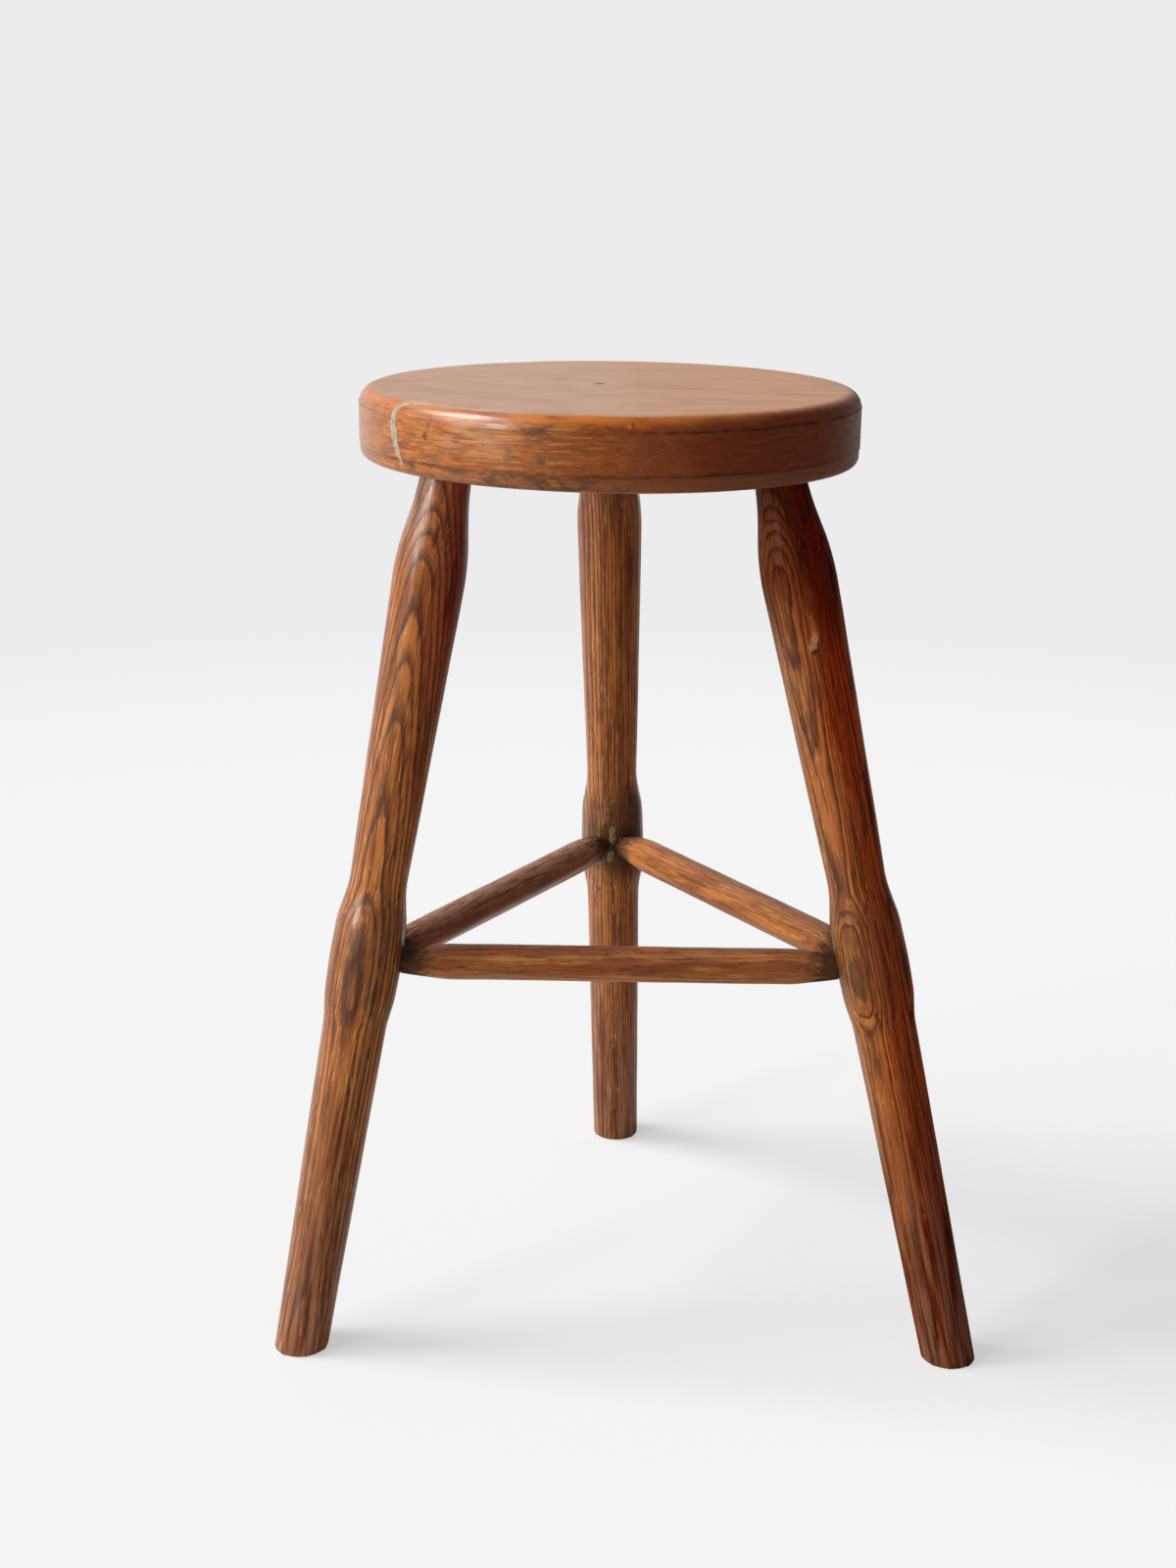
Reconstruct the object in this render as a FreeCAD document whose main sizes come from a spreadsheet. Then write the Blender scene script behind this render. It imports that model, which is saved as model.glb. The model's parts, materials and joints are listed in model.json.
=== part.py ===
import FreeCAD, Part
import collections
import math
import os
import Sketcher
from FreeCAD import Placement, Rotation, Vector

# A turned tripod stool: one round seat, three splayed legs and three stretchers, glued together.
# Millimetres and degrees, +Z up, floor at Z 0. +Y points away from the front stretcher.

# Driving sizes. Turns are measured round the seat's axis from +X towards +Y.
sizes = {
    # Where the seat's axis stands, so that the whole stool is centred on the origin.
    "seat_axis_x": -17.1,
    "seat_axis_y": -40.2,
    # Seat: one slab, its edge rounded top and bottom with a small step beside each round.
    "seat_height": 610.0,
    "seat_radius": 155.0,
    "seat_thickness": 43.2,
    "edge_step": 0.5,
    "top_round_drop": 9.0,
    "top_round_inset": 10.0,
    "top_round_radius": 9.5,
    "bottom_step": 9.8,
    "bottom_round": 5.0,
    # Leg sockets: blind round holes on a circle in the seat's underside.
    "socket_circle": 115.0,
    "socket_radius": 15.85,
    "socket_reach": 50.0,
    # Leg turning: radii, and distances down the leg from the seat's underside.
    "tenon_length": 29.5,
    "neck_radius": 15.7,
    "neck_end": 15.0,
    "shoulder_radius": 22.5,
    "shoulder_drop": 56.0,
    "waist_radius": 17.9,
    "waist_drop": 262.0,
    "bulb_top_radius": 22.1,
    "bulb_top_drop": 285.0,
    "crown_radius": 22.9,
    "crown_drop": 313.0,
    "bulb_base_radius": 22.2,
    "bulb_base_drop": 335.0,
    "ankle_radius": 19.6,
    "ankle_drop": 351.0,
    "foot_end_radius": 17.2,
    "foot_end_drop": 594.0,
    "shoulder_curve": 140.0,
    "bulb_curve": 60.0,
    "crown_curve": 300.0,
    "foot_round": 2.0,
    "foot_trim_radius": 60.0,
    "foot_trim_depth": 40.0,
    # How each leg stands: turn of its socket, then radius and turn of its foot on the floor.
    "back_socket_turn": 90.4,
    "back_foot_circle": 218.5,
    "back_foot_turn": 86.9,
    "left_socket_turn": 212.9,
    "left_foot_circle": 220.0,
    "left_foot_turn": 208.5,
    "right_socket_turn": 331.8,
    "right_foot_circle": 251.7,
    "right_foot_turn": 334.7,
    # Stretchers: round rods that taper towards a tenon at each end. The axes of the two in a leg cross a
    # little inside the leg's own axis, and the distances along a rod are from that crossing.
    "front_rail_radius": 11.4,
    "left_rail_radius": 11.5,
    "right_rail_radius": 11.8,
    "rail_end_cut": 3.2,
    "rail_taper": 28.0,
    "rail_taper_radius": 124.0,
    "rail_tenon_radius": 6.2,
    "rail_shoulder": 21.9,
    "mortise_inset": 4.2,
    "mortise_radius": 6.3,
    "mortise_floor": 12.2,
    "mortise_reach": 30.0,
    # How far down a leg each stretcher meets it, named by stretcher and leg.
    "front_left_drop": 311.8,
    "front_right_drop": 316.6,
    "left_left_drop": 313.0,
    "left_back_drop": 311.7,
    "right_right_drop": 313.0,
    "right_back_drop": 311.7,
    # Glue line left past the end of every tenon.
    "glue_gap": 0.4,
    # Filled split in the seat's rim: a crescent between two arcs.
    "split_turn": 215.8,
    "split_low": 8.0,
    "split_high": 41.4,
    "split_tip_low": 6.0,
    "split_tip_high": 4.0,
    "split_outer_radius": 25.0,
    "split_inner_radius": 46.0,
    "split_depth": 8.0,
}

doc = FreeCAD.newDocument("tripod_stool")


def polar(radius, turn, height):
    """A point at a radius and turn about the seat's axis, in the stool's frame."""
    x = sizes["seat_axis_x"] + radius * math.cos(math.radians(turn))
    y = sizes["seat_axis_y"] + radius * math.sin(math.radians(turn))
    return Vector(x, y, height)


def along(start, direction, lift=0.0):
    """Placement that turns local Z to a direction and starts lift along it from a point."""
    return Placement(start + direction * lift, Rotation(Vector(0, 0, 1), direction))


# Each leg's axis runs from its socket in the underside to its foot on the floor.
underside = sizes["seat_height"] - sizes["seat_thickness"]
leg_names = ("back", "left", "right")
leg_down = {}
leg_place = {}
for name in leg_names:
    socket = polar(sizes["socket_circle"], sizes[name + "_socket_turn"], underside)
    foot = polar(sizes[name + "_foot_circle"], sizes[name + "_foot_turn"], 0.0)
    leg_down[name] = (foot - socket).normalize()
    leg_place[name] = along(socket, leg_down[name], -sizes["tenon_length"])


def aim(rail, leg):
    """Where a stretcher's axis ends in a leg: down the leg's axis, then in towards the seat's axis."""
    drop = sizes["tenon_length"] + sizes["%s_%s_drop" % (rail, leg)]
    spot = leg_place[leg].Base + leg_down[leg] * drop
    inward = (polar(0.0, 0.0, spot.z) - spot).normalize()
    return spot + inward * sizes["mortise_inset"]


# A stretcher joins the bulbs of two legs. Its length follows from where the legs stand.
stretcher_ends = {
    "front": ("left", "right"),
    "left": ("left", "back"),
    "right": ("right", "back"),
}
tenon_stop = sizes["mortise_floor"] + sizes["glue_gap"]
stretcher_way = {}
for name, (first, second) in stretcher_ends.items():
    span = aim(name, second) - aim(name, first)
    sizes[name + "_rail_length"] = round(span.Length - 2.0 * tenon_stop, 3)
    stretcher_way[name] = span.normalize()

# Every size goes into the sheet as a plain number with its name as alias.
sheet = doc.addObject("Spreadsheet::Sheet", "Sizes")
for row, (alias, number) in enumerate(sizes.items(), start=1):
    sheet.set("A%d" % row, alias.replace("_", " "))
    sheet.set("B%d" % row, str(number))
    sheet.setAlias("B%d" % row, alias)
doc.recompute()


def amount(sum_text):
    """Number for a sum of named sizes written as words, such as seat_radius - edge_step."""
    total = 0.0
    sign = 1.0
    for word in sum_text.split():
        if word in "+-":
            sign = 1.0 if word == "+" else -1.0
        else:
            total += sign * sizes[word]
    return total


def formula(sum_text):
    """The same sum as an expression that reads the sheet."""
    return " ".join(word if word in "+-" else "Sizes." + word for word in sum_text.split())


def bind(thing, **sums):
    """Tie properties of an object to sums of named sizes."""
    for property_name, sum_text in sums.items():
        thing.setExpression(property_name, formula(sum_text))


def origin_plane(body, role):
    return next(item for item in body.Origin.OriginFeatures if item.Role == role)


def new_body(label):
    body = doc.addObject("PartDesign::Body", label)
    body.Label = label
    return body


def new_sketch(body, label, role):
    sketch = body.newObject("Sketcher::SketchObject", label)
    sketch.AttachmentSupport = [(origin_plane(body, role), "")]
    sketch.MapMode = "FlatFace"
    return sketch


def arc_between(start, end, radius):
    """Arc from start to end that swells to the right of that way, or to the left if radius is minus."""
    chord = end - start
    middle = (start + end) * 0.5
    left = Vector(-chord.y, chord.x, 0).normalize()
    rise = math.sqrt(radius * radius - chord.Length ** 2 / 4.0)
    centre = middle + left * math.copysign(rise, radius)
    first, last = (start, end) if radius > 0 else (end, start)
    first_angle = math.atan2(first.y - centre.y, first.x - centre.x)
    last_angle = math.atan2(last.y - centre.y, last.x - centre.x)
    circle = Part.Circle(centre, Vector(0, 0, 1), abs(radius))
    return Part.ArcOfCircle(circle, first_angle, last_angle)


def hold(sketch, constraint, sum_text):
    """Add a constraint whose number is a sum of named sizes."""
    row = sketch.addConstraint(constraint)
    sketch.setExpression("Constraints[%d]" % row, formula(sum_text))


# A corner of an outline: two sums of sizes, where "" lies on the axis. ease names the radius that
# rounds the corner off. arc names the radius of the side that leaves it, with a minus if hollow.
Corner = collections.namedtuple("Corner", "across up ease arc", defaults=("", ""))

# How a sketch numbers the ends of a line or arc, its own origin and its two axes.
START, END, CENTRE = 1, 2, 3
ORIGIN = (-1, START)
LEVEL_AXIS, UPRIGHT_AXIS = -1, -2


def draw_outline(sketch, corners):
    """Closed outline through corners, in turn, with every size held by the sheet."""
    points = [Vector(amount(corner.across), amount(corner.up), 0) for corner in corners]
    count = len(corners)
    arrive, leave = list(points), list(points)
    for index, corner in enumerate(corners):
        if corner.ease:
            before = (points[index] - points[index - 1]).normalize()
            after = (points[(index + 1) % count] - points[index]).normalize()
            reach = sizes[corner.ease] * math.tan(before.getAngle(after) / 2.0)
            arrive[index] = points[index] - before * reach
            leave[index] = points[index] + after * reach

    # Every line and arc in order round the outline, and whether it is an ease and whether hollow.
    chain = []
    sides = []
    for index, corner in enumerate(corners):
        start, end = leave[index], arrive[(index + 1) % count]
        if corner.ease:
            bend = (points[index] - points[index - 1]).cross(end - start).z
            radius = math.copysign(sizes[corner.ease], bend)
            shape = sketch.addGeometry(arc_between(arrive[index], start, radius), False)
            hold(sketch, Sketcher.Constraint("Radius", shape, abs(radius)), corner.ease)
            chain.append((shape, True, radius < 0))
        hollow = corner.arc.startswith("-")
        if corner.arc:
            name = corner.arc.lstrip("-")
            radius = -sizes[name] if hollow else sizes[name]
            shape = sketch.addGeometry(arc_between(start, end, radius), False)
            hold(sketch, Sketcher.Constraint("Radius", shape, sizes[name]), name)
        else:
            shape = sketch.addGeometry(Part.LineSegment(start, end), False)
        chain.append((shape, False, hollow))
        sides.append(shape)
    for (shape, ease, hollow), (after, after_ease, after_hollow) in zip(chain, chain[1:] + chain[:1]):
        kind = "Tangent" if ease or after_ease else "Coincident"
        last, first = START if hollow else END, END if after_hollow else START
        sketch.addConstraint(Sketcher.Constraint(kind, shape, last, after, first))

    # A sharp corner is held where its side starts, an eased one by the point where its sides would meet.
    for index, corner in enumerate(corners):
        mark = (sides[index], END if corner.arc.startswith("-") else START)
        if corner.ease:
            mark = (sketch.addGeometry(Part.Point(points[index]), True), START)
            for side in (sides[index - 1], sides[index]):
                sketch.addConstraint(Sketcher.Constraint("PointOnObject", *mark, side))
        for kind, sum_text, axis in (
                ("DistanceX", corner.across, UPRIGHT_AXIS), ("DistanceY", corner.up, LEVEL_AXIS)):
            if sum_text:
                hold(sketch, Sketcher.Constraint(kind, *ORIGIN, *mark, amount(sum_text)), sum_text)
            else:
                sketch.addConstraint(Sketcher.Constraint("PointOnObject", *mark, axis))


def turned_body(label, corners):
    """A lathe-turned solid: the outline, radius across and length up, swept round local Z."""
    body = new_body(label)
    sketch = new_sketch(body, label + "_profile", "XZ_Plane")
    draw_outline(sketch, corners)
    turning = body.newObject("PartDesign::Revolution", label + "_turning")
    turning.Profile = sketch
    turning.ReferenceAxis = (sketch, ["V_Axis"])
    turning.Angle = 360.0
    doc.recompute()
    return body, turning


def cylinder(label, place, radius, height):
    rod = doc.addObject("Part::Cylinder", label)
    bind(rod, Radius=radius, Height=height)
    rod.Placement = place
    return rod


def cut_from(label, base, tools):
    """A sub-part: the base with every tool cut out of it."""
    group = doc.addObject("Part::Compound", label + "_tools")
    group.Links = tools
    piece = doc.addObject("Part::Cut", label)
    piece.Base = base
    piece.Tool = group
    piece.Label = label
    return piece


def shared(label, first, second):
    piece = doc.addObject("Part::Common", label)
    piece.Base = first
    piece.Tool = second
    piece.Label = label
    return piece


# Seat blank: a round slab with its edge profile, before any hole is bored.
seat_blank, seat_turning = turned_body("seat_blank", [
    Corner("", ""),
    Corner("seat_radius - edge_step - bottom_round", "", arc="bottom_round"),
    Corner("seat_radius - edge_step", "bottom_round"),
    Corner("seat_radius - edge_step", "bottom_step"),
    Corner("seat_radius", "bottom_step"),
    Corner("seat_radius", "seat_thickness - top_round_drop"),
    Corner("seat_radius - edge_step", "seat_thickness - top_round_drop", arc="top_round_radius"),
    Corner("seat_radius - top_round_inset", "seat_thickness"),
    Corner("", "seat_thickness"),
])
seat_blank.Placement = Placement(polar(0.0, 0.0, underside), Rotation())

# Split in the rim, as a crescent-shaped cutter that reaches in from the edge.
split = new_body("split_shape")
split_sketch = new_sketch(split, "split_outline", "XZ_Plane")
draw_outline(split_sketch, [
    Corner("split_tip_low", "split_low", arc="-split_inner_radius"),
    Corner("split_tip_high", "split_high", arc="split_outer_radius"),
])
split_pad = split.newObject("PartDesign::Pad", "split_depth_pad")
split_pad.Profile = split_sketch
split_pad.SideType = "Symmetric"
bind(split_pad, Length="split_depth + split_depth")
split_rim = polar(sizes["seat_radius"], sizes["split_turn"], underside)
split.Placement = Placement(split_rim, Rotation(Vector(0, 0, 1), sizes["split_turn"] + 90.0))

# Leg blanks: all three are turned alike, then trimmed level with the floor.
leg_blank = {}
leg_corners = [
    Corner("", ""),
    Corner("neck_radius", ""),
    Corner("neck_radius", "tenon_length + neck_end", ease="shoulder_curve"),
    Corner("shoulder_radius", "tenon_length + shoulder_drop", ease="shoulder_curve"),
    Corner("waist_radius", "tenon_length + waist_drop", ease="bulb_curve"),
    Corner("bulb_top_radius", "tenon_length + bulb_top_drop", ease="bulb_curve"),
    Corner("crown_radius", "tenon_length + crown_drop", ease="crown_curve"),
    Corner("bulb_base_radius", "tenon_length + bulb_base_drop", ease="bulb_curve"),
    Corner("ankle_radius", "tenon_length + ankle_drop", ease="bulb_curve"),
    Corner("foot_end_radius", "tenon_length + foot_end_drop"),
    Corner("", "tenon_length + foot_end_drop"),
]
level, edge_samples = 0.01, 7
for name in leg_names:
    label = name + "_leg_blank"
    body, turning = turned_body(label, leg_corners)

    # The floor cuts the foot level: a disc in the floor's plane, pocketed downwards.
    floor_sketch = new_sketch(body, label + "_floor", "XY_Plane")
    foot = polar(sizes[name + "_foot_circle"], sizes[name + "_foot_turn"], 0.0)
    floor_sketch.AttachmentOffset = leg_place[name].inverse() * Placement(foot, Rotation())
    disc = Part.Circle(Vector(0, 0, 0), Vector(0, 0, 1), sizes["foot_trim_radius"])
    floor_sketch.addGeometry(disc, False)
    floor_sketch.addConstraint(Sketcher.Constraint("Coincident", 0, CENTRE, *ORIGIN))
    hold(floor_sketch, Sketcher.Constraint("Radius", 0, disc.Radius), "foot_trim_radius")
    trim = body.newObject("PartDesign::Pocket", label + "_trim")
    trim.Profile = floor_sketch
    bind(trim, Length="foot_trim_depth")
    doc.recompute()
    if trim.Shape.Volume >= turning.Shape.Volume:
        raise RuntimeError("the floor does not trim the foot of " + label)

    # The arris of the foot, the edge that lies in the floor all along, is worn round.
    standing = trim.Shape.transformed(leg_place[name].toMatrix())
    arris = ["Edge%d" % number for number, edge in enumerate(standing.Edges, start=1)
             if max(point.z for point in edge.discretize(edge_samples)) < level]
    foot_edge = body.newObject("PartDesign::Fillet", label + "_foot_edge")
    foot_edge.Base = (trim, arris)
    bind(foot_edge, Radius="foot_round")
    doc.recompute()
    body.Placement = leg_place[name]
    leg_blank[name] = body

# Stretchers: a tenon at each end, a small shoulder, then a swelling taper up to the plain round rod.
stretchers = {}
for name, (first, second) in stretcher_ends.items():
    length = name + "_rail_length"
    radius = name + "_rail_radius"
    end_radius = radius + " - rail_end_cut"
    tenon_end = "rail_shoulder - mortise_floor - glue_gap"
    taper_end = tenon_end + " + rail_taper"
    far_tenon_end = length + " - rail_shoulder + mortise_floor + glue_gap"
    body, turning = turned_body(name + "_stretcher", [
        Corner("", ""),
        Corner("rail_tenon_radius", ""),
        Corner("rail_tenon_radius", tenon_end),
        Corner(end_radius, tenon_end, arc="rail_taper_radius"),
        Corner(radius, taper_end),
        Corner(radius, far_tenon_end + " - rail_taper", arc="rail_taper_radius"),
        Corner(end_radius, far_tenon_end),
        Corner("rail_tenon_radius", far_tenon_end),
        Corner("rail_tenon_radius", length),
        Corner("", length),
    ])
    body.Placement = along(aim(name, first), stretcher_way[name], tenon_stop)
    stretchers[name] = body

# Holes: a socket in the seat for each leg, and a mortise in each leg for each stretcher's end.
sockets = {}
mortises = {name: {} for name in leg_names}
for name in leg_names:
    socket_place = along(leg_place[name].Base, leg_down[name], -sizes["glue_gap"])
    sockets[name] = cylinder(name + "_socket", socket_place, "socket_radius", "socket_reach")
for rail, ends in stretcher_ends.items():
    for leg, way in zip(ends, (stretcher_way[rail], stretcher_way[rail] * -1.0)):
        hole_place = along(aim(rail, leg), way, sizes["mortise_floor"])
        mortises[leg][rail] = cylinder(
            "%s_%s_mortise" % (leg, rail), hole_place, "mortise_radius", "mortise_reach")

# The finished pieces, and the glue that fills what is left between them at each joint.
parts = [cut_from("seat", seat_blank, list(sockets.values()) + [split])]
parts.append(shared("split_filler", seat_blank, split))
for name in leg_names:
    parts.append(cut_from(name + "_leg", leg_blank[name], list(mortises[name].values())))
parts.extend(stretchers.values())
for name in leg_names:
    bored = shared(name + "_socket_space", seat_blank, sockets[name])
    parts.append(cut_from(name + "_leg_glue", bored, [leg_blank[name]]))
for rail, ends in stretcher_ends.items():
    for leg in ends:
        bored = shared("%s_%s_mortise_space" % (leg, rail), leg_blank[leg], mortises[leg][rail])
        label = "%s_stretcher_%s_glue" % (rail, leg)
        parts.append(cut_from(label, bored, [stretchers[rail]]))
doc.recompute()

for thing in doc.Objects:
    if "Invalid" in thing.State or "Error" in thing.State:
        raise RuntimeError("%s failed: %s" % (thing.Label, thing.State))
for part in parts:
    if part.Shape.isNull() or not part.Shape.isValid():
        raise RuntimeError("%s has no valid shape" % part.Label)

os.makedirs("parts", exist_ok=True)
whole = FreeCAD.BoundBox()
for part in parts:
    whole.add(part.Shape.optimalBoundingBox())
    part.Shape.exportStep("parts/%s.step" % part.Label)
    print("%-28s %2d solid %10.1f mm3" % (part.Label, len(part.Shape.Solids), part.Shape.Volume))
print("box centre %.3f %.3f, base %.3f" % (whole.Center.x, whole.Center.y, whole.ZMin))
print("box size %.2f %.2f %.2f" % (whole.XLength, whole.YLength, whole.ZLength))
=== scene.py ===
import json
import math
import bmesh
import bpy
from mathutils import Matrix, Vector, noise
from mathutils.bvhtree import BVHTree


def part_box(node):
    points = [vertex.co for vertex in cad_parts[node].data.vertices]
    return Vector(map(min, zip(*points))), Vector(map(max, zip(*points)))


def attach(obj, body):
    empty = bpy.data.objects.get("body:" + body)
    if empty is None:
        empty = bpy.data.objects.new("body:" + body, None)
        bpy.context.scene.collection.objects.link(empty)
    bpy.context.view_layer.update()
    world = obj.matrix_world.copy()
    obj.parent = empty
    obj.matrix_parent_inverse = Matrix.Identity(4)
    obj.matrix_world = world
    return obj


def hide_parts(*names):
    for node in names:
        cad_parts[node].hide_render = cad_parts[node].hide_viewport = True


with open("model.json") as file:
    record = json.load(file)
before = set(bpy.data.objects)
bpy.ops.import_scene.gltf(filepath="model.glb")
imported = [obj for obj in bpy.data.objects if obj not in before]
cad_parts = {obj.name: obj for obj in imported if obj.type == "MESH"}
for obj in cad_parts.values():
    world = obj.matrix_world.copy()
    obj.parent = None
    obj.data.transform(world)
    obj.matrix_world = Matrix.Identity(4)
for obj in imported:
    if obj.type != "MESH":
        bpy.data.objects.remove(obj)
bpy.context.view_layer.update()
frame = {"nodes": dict(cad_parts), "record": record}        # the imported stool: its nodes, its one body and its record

# Seat
# One thick board turned to a round slab, its edge rounded above and below beside a small step.
# The grain runs from left to right under an orange varnish that has gone dull on top, where its tan is
# partly painted sheen, and dark on the right, partly as painted shade. Painted shade lies along the steps.
# Three blind sockets bored in the underside take the legs.
MM = 0.001
seat_low, seat_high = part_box("seat")
seat_centre = (seat_low + seat_high) / 2
seat_radius = (seat_high.x - seat_low.x) / 2
seat_thickness = seat_high.z - seat_low.z
seat_place = Matrix.Translation((seat_centre.x, seat_centre.y, seat_low.z))
edge_step = 0.5 * MM
top_round = 9.3 * MM
top_step = seat_thickness - 9.0 * MM
bottom_round = 5.0 * MM
bottom_step = 9.8 * MM
underside_fall = 0.0074
fall_top = 23.0 * MM
fall_reach = 20.0 * MM
seat_facets = 240
seat_ring_gap = 2.5 * MM
seat_wear = 0.25 * MM
seat_wear_wave = 45.0 * MM
arc_facets = 8
weld = 0.01 * MM
sharp_angle = math.radians(38)
# Marks on the seat, right of its axis, in front of it and above its underside, in millimetres.
turning_pit = (-6.6, -9.5, 43.2)
rim_dent = (-105.7, 113.3, 25.9)
rim_scuff = (-41.3, 149.4, 34.0)
sheen_spot = (-76.0, 135.0, 28.0)
edge_nick = (12.7, 154.5, 38.8)
nick_chip = (10.9, 154.5, 37.8)
top_fleck = (-32.6, -28.7, 43.2)


def turned(corners, facets, ring_gap):
    """A lathe-turned shape: corners of its outline as radius, height and the curve that eases them."""
    shape = bmesh.new()
    points = [shape.verts.new((radius, 0, height)) for radius, height, curve in corners]
    for start, end in zip(points, points[1:]):
        shape.edges.new((start, end))
    places = [point.co.copy() for point in points]
    for index, (radius, height, curve) in enumerate(corners):
        if curve:
            arriving = places[index] - places[index - 1]
            leaving = places[index + 1] - places[index]
            reach = curve * math.tan(arriving.angle(leaving) / 2)
            bmesh.ops.bevel(
                shape, geom=[points[index]], offset=reach, offset_type="OFFSET",
                segments=arc_facets, profile=0.5, affect="VERTICES", material=-1)
    for edge in list(shape.edges):
        cuts = int(edge.calc_length() / ring_gap)
        if cuts:
            bmesh.ops.subdivide_edges(shape, edges=[edge], cuts=cuts)
    bmesh.ops.spin(
        shape, geom=list(shape.verts) + list(shape.edges), cent=(0, 0, 0), axis=(0, 0, 1),
        angle=math.tau, steps=facets, use_merge=True)
    bmesh.ops.remove_doubles(shape, verts=shape.verts, dist=weld)
    bmesh.ops.recalc_face_normals(shape, faces=shape.faces)
    return shape


def wear_in(shape, depth, wave):
    """Sink the surface unevenly by up to that depth, in swells of about that length."""
    shape.normal_update()
    for vert in shape.verts:
        share = 0.5 + 0.5 * noise.noise(vert.co / wave)
        vert.co -= vert.normal * (depth * share)


def dent(shape, spot, reach, depth):
    """Push a round dent into the surface about a spot."""
    shape.normal_update()
    for vert in shape.verts:
        away = (vert.co - spot).length / reach
        if away < 1:
            vert.co -= vert.normal * (depth * (1 - away ** 2) ** 2)


def make_piece(name, shape, material):
    """A finished shape as an object of the scene, smooth but for its sharp edges."""
    mesh = bpy.data.meshes.new(name)
    shape.to_mesh(mesh)
    shape.free()
    mesh.shade_smooth()
    mesh.set_sharp_from_angle(angle=sharp_angle)
    mesh.materials.append(material)
    piece = bpy.data.objects.new(name, mesh)
    bpy.context.scene.collection.objects.link(piece)
    return piece


def fill(tree, node, sockets):
    """Set a shader node's sockets, by a value or by a link."""
    for socket, value in dict(sockets).items():
        if isinstance(value, bpy.types.NodeSocket):
            tree.links.new(value, node.inputs[socket])
        else:
            node.inputs[socket].default_value = value


def put(tree, kind, sockets=(), **options):
    """Add a shader node with its options set and its sockets filled."""
    node = tree.nodes.new("ShaderNode" + kind)
    for option, choice in options.items():
        setattr(node, option, choice)
    fill(tree, node, sockets)
    return node


def maths(tree, operation, *values):
    return put(tree, "Math", enumerate(values), operation=operation).outputs[0]


def add_scaled(tree, value, scale, base):
    return maths(tree, "MULTIPLY_ADD", value, scale, base)


def product(tree, first, *others):
    """Several masks multiplied."""
    for other in others:
        first = maths(tree, "MULTIPLY", first, other)
    return first


def vectors(tree, operation, *values):
    return put(tree, "VectorMath", enumerate(values), operation=operation).outputs


def fade(tree, value, start, end):
    """Mask that is 0 up to start and 1 from end on, smooth between."""
    sockets = {"Value": value, "From Min": start, "From Max": end}
    return put(tree, "MapRange", sockets, interpolation_type="SMOOTHSTEP").outputs[0]


def cloud(tree, vector, cell, detail=2.0):
    """Noise from 0 to 1 with cells of that size along each axis."""
    scaled = vectors(tree, "DIVIDE", vector, cell)[0]
    sockets = {"Vector": scaled, "Scale": 1.0, "Detail": detail}
    return put(tree, "TexNoise", sockets).outputs[0]


def blotch(tree, place, spot, size, crumbs):
    """Ragged mark about a spot, fading out at that size along each axis."""
    raggedness, outer, inner = 1.6, 1.75, 1.3
    off = vectors(tree, "DIVIDE", vectors(tree, "SUBTRACT", place, spot)[0], size)[0]
    away = vectors(tree, "LENGTH", off)["Value"]
    return fade(tree, add_scaled(tree, crumbs, raggedness, away), outer, inner)


def tint(tree, under, over, *masks, mode="MIX"):
    """Lay one colour over another where all the masks are 1."""
    sockets = {0: product(tree, *masks), 6: under, 7: over}
    return put(tree, "Mix", sockets, data_type="RGBA", blend_type=mode).outputs[2]


def layer(tree, colour, *coats):
    """Lay coats of colour one over another, each given with its masks."""
    for over, *masks in coats:
        colour = tint(tree, colour, over, *masks)
    return colour


def relief(tree, height, strength, depth):
    """Fine relief of the surface, up to that depth in millimetres."""
    sockets = {"Height": height, "Strength": strength, "Distance": depth * MM}
    return put(tree, "Bump", sockets).outputs[0]


def new_group(name, takes, gives):
    """A node group with one vector and then numbers going in, and numbers coming out."""
    tree = bpy.data.node_groups.new(name, "ShaderNodeTree")
    for socket in takes:
        kind = "NodeSocketVector" if socket == takes[0] else "NodeSocketFloat"
        tree.interface.new_socket(socket, in_out="INPUT", socket_type=kind)
    for socket in gives:
        tree.interface.new_socket(socket, in_out="OUTPUT", socket_type="NodeSocketFloat")
    return tree, tree.nodes.new("NodeGroupInput").outputs, tree.nodes.new("NodeGroupOutput").inputs


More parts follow.
